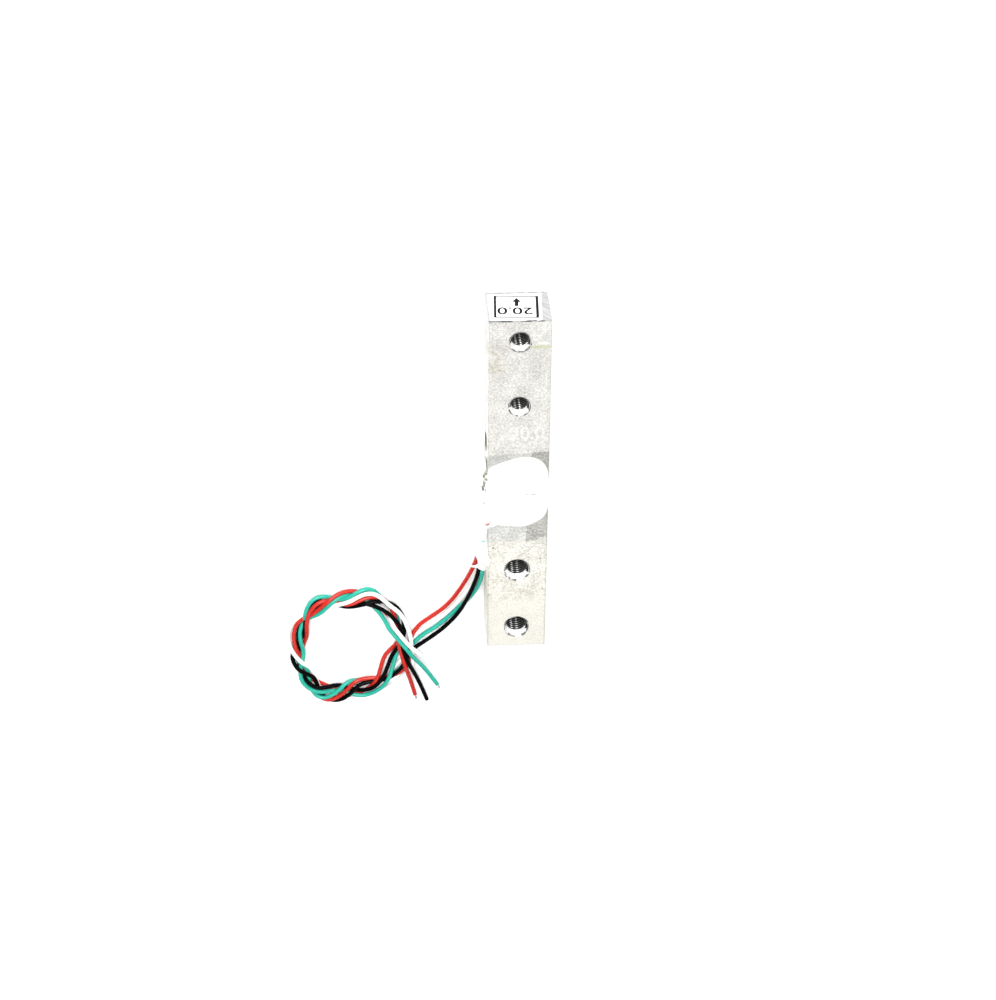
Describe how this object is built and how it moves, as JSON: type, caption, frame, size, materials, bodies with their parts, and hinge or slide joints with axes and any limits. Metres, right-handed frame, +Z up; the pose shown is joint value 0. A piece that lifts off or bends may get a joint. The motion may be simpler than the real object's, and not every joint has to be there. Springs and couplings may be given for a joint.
{
  "type": "single point load cell",
  "caption": "Small aluminium bar load cell with a binocular cut-out, silicone over its strain gauges, threaded mounting holes and a loose coil of thin coloured wires.",
  "frame": {"origin": "middle of the cell's length and width, at the level of the surface it lies on, which is the underside of the lower silicone", "axes": "+Y along the bar towards the loading end, which carries the sticker; +Z up through the mounting holes; the wires leave on the -X side"},
  "size_m": [0.0568, 0.1047, 0.015],
  "materials": {
    "aluminium": "satin mill finish",
    "label": "matt printed sticker",
    "gauge_backing": "amber film",
    "gauge_foil": "etched foil",
    "circuit_board": "glass-epoxy board",
    "solder": "bright solder",
    "copper": "tinned copper strands",
    "silicone": "cured white silicone",
    "red_wire": "smooth insulation",
    "green_wire": "smooth insulation",
    "black_wire": "smooth insulation",
    "white_wire": "smooth insulation"
  },
  "bodies": {
    "root": {"beam": "aluminium", "end_label": "label", "gauge_backing_top_front": "gauge_backing", "gauge_backing_top_rear": "gauge_backing", "gauge_backing_bottom_front": "gauge_backing", "gauge_backing_bottom_rear": "gauge_backing", "gauge_grid_top_front": "gauge_foil", "gauge_grid_top_rear": "gauge_foil", "gauge_grid_bottom_front": "gauge_foil", "gauge_grid_bottom_rear": "gauge_foil", "terminal_strip": "circuit_board", "solder_joint_red": "solder", "solder_joint_green": "solder", "solder_joint_black": "solder", "solder_joint_white": "solder", "jumper_top_front_a": "copper", "jumper_top_front_b": "copper", "jumper_top_rear_a": "copper", "jumper_top_rear_b": "copper", "jumper_bottom_front_a": "copper", "jumper_bottom_front_b": "copper", "jumper_bottom_rear_a": "copper", "jumper_bottom_rear_b": "copper", "top_silicone": "silicone", "bottom_silicone": "silicone", "jumper_silicone_front": "silicone", "jumper_silicone_rear": "silicone", "side_silicone": "silicone", "red_wire_root": "red_wire", "red_wire_lead": "red_wire", "red_wire_tail": "red_wire", "red_wire_tip": "copper", "green_wire_root": "green_wire", "green_wire_lead": "green_wire", "green_wire_tail": "green_wire", "green_wire_tip": "copper", "black_wire_root": "black_wire", "black_wire_lead": "black_wire", "black_wire_tail": "black_wire", "white_wire_root": "white_wire", "white_wire_lead": "white_wire", "white_wire_tail": "white_wire", "wire_coil": "black_wire"}
  },
  "joints": []
}
